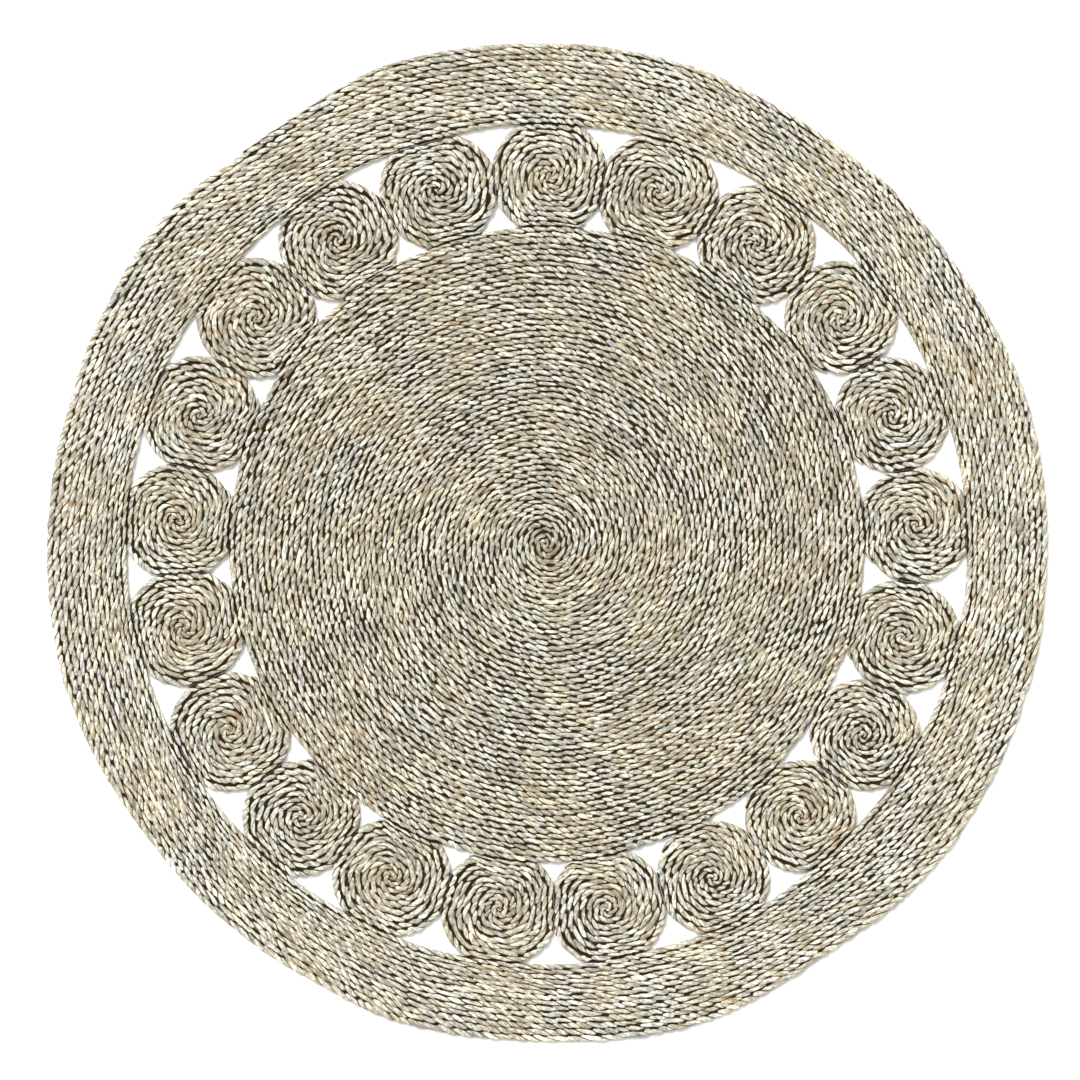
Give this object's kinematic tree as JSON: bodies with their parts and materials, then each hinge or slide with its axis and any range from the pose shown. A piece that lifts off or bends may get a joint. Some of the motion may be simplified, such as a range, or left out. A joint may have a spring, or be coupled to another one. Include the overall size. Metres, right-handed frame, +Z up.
{
  "type": "round rug",
  "caption": "Round flat rug wound from twisted plant-fibre cord: a spiral centre disc, an open ring of small spiral coils around it, and a spiral border band.",
  "frame": {"origin": "middle of the outline's box, on the floor under the rug", "axes": "+Z up from the floor; +Y towards the top of the picture and +X towards its right"},
  "size_m": [1.2016, 1.1974, 0.008],
  "materials": {
    "disc_cord": "matt twisted plant fibre",
    "coil_cord": "matt twisted plant fibre",
    "border_cord": "matt twisted plant fibre"
  },
  "bodies": {
    "root": {"centre_disc": "disc_cord", "coil_01": "coil_cord", "coil_02": "coil_cord", "coil_03": "coil_cord", "coil_04": "coil_cord", "coil_05": "coil_cord", "coil_06": "coil_cord", "coil_07": "coil_cord", "coil_08": "coil_cord", "coil_09": "coil_cord", "coil_10": "coil_cord", "coil_11": "coil_cord", "coil_12": "coil_cord", "coil_13": "coil_cord", "coil_14": "coil_cord", "coil_15": "coil_cord", "coil_16": "coil_cord", "coil_17": "coil_cord", "coil_18": "coil_cord", "coil_19": "coil_cord", "coil_20": "coil_cord", "coil_21": "coil_cord", "border": "border_cord"}
  },
  "joints": []
}
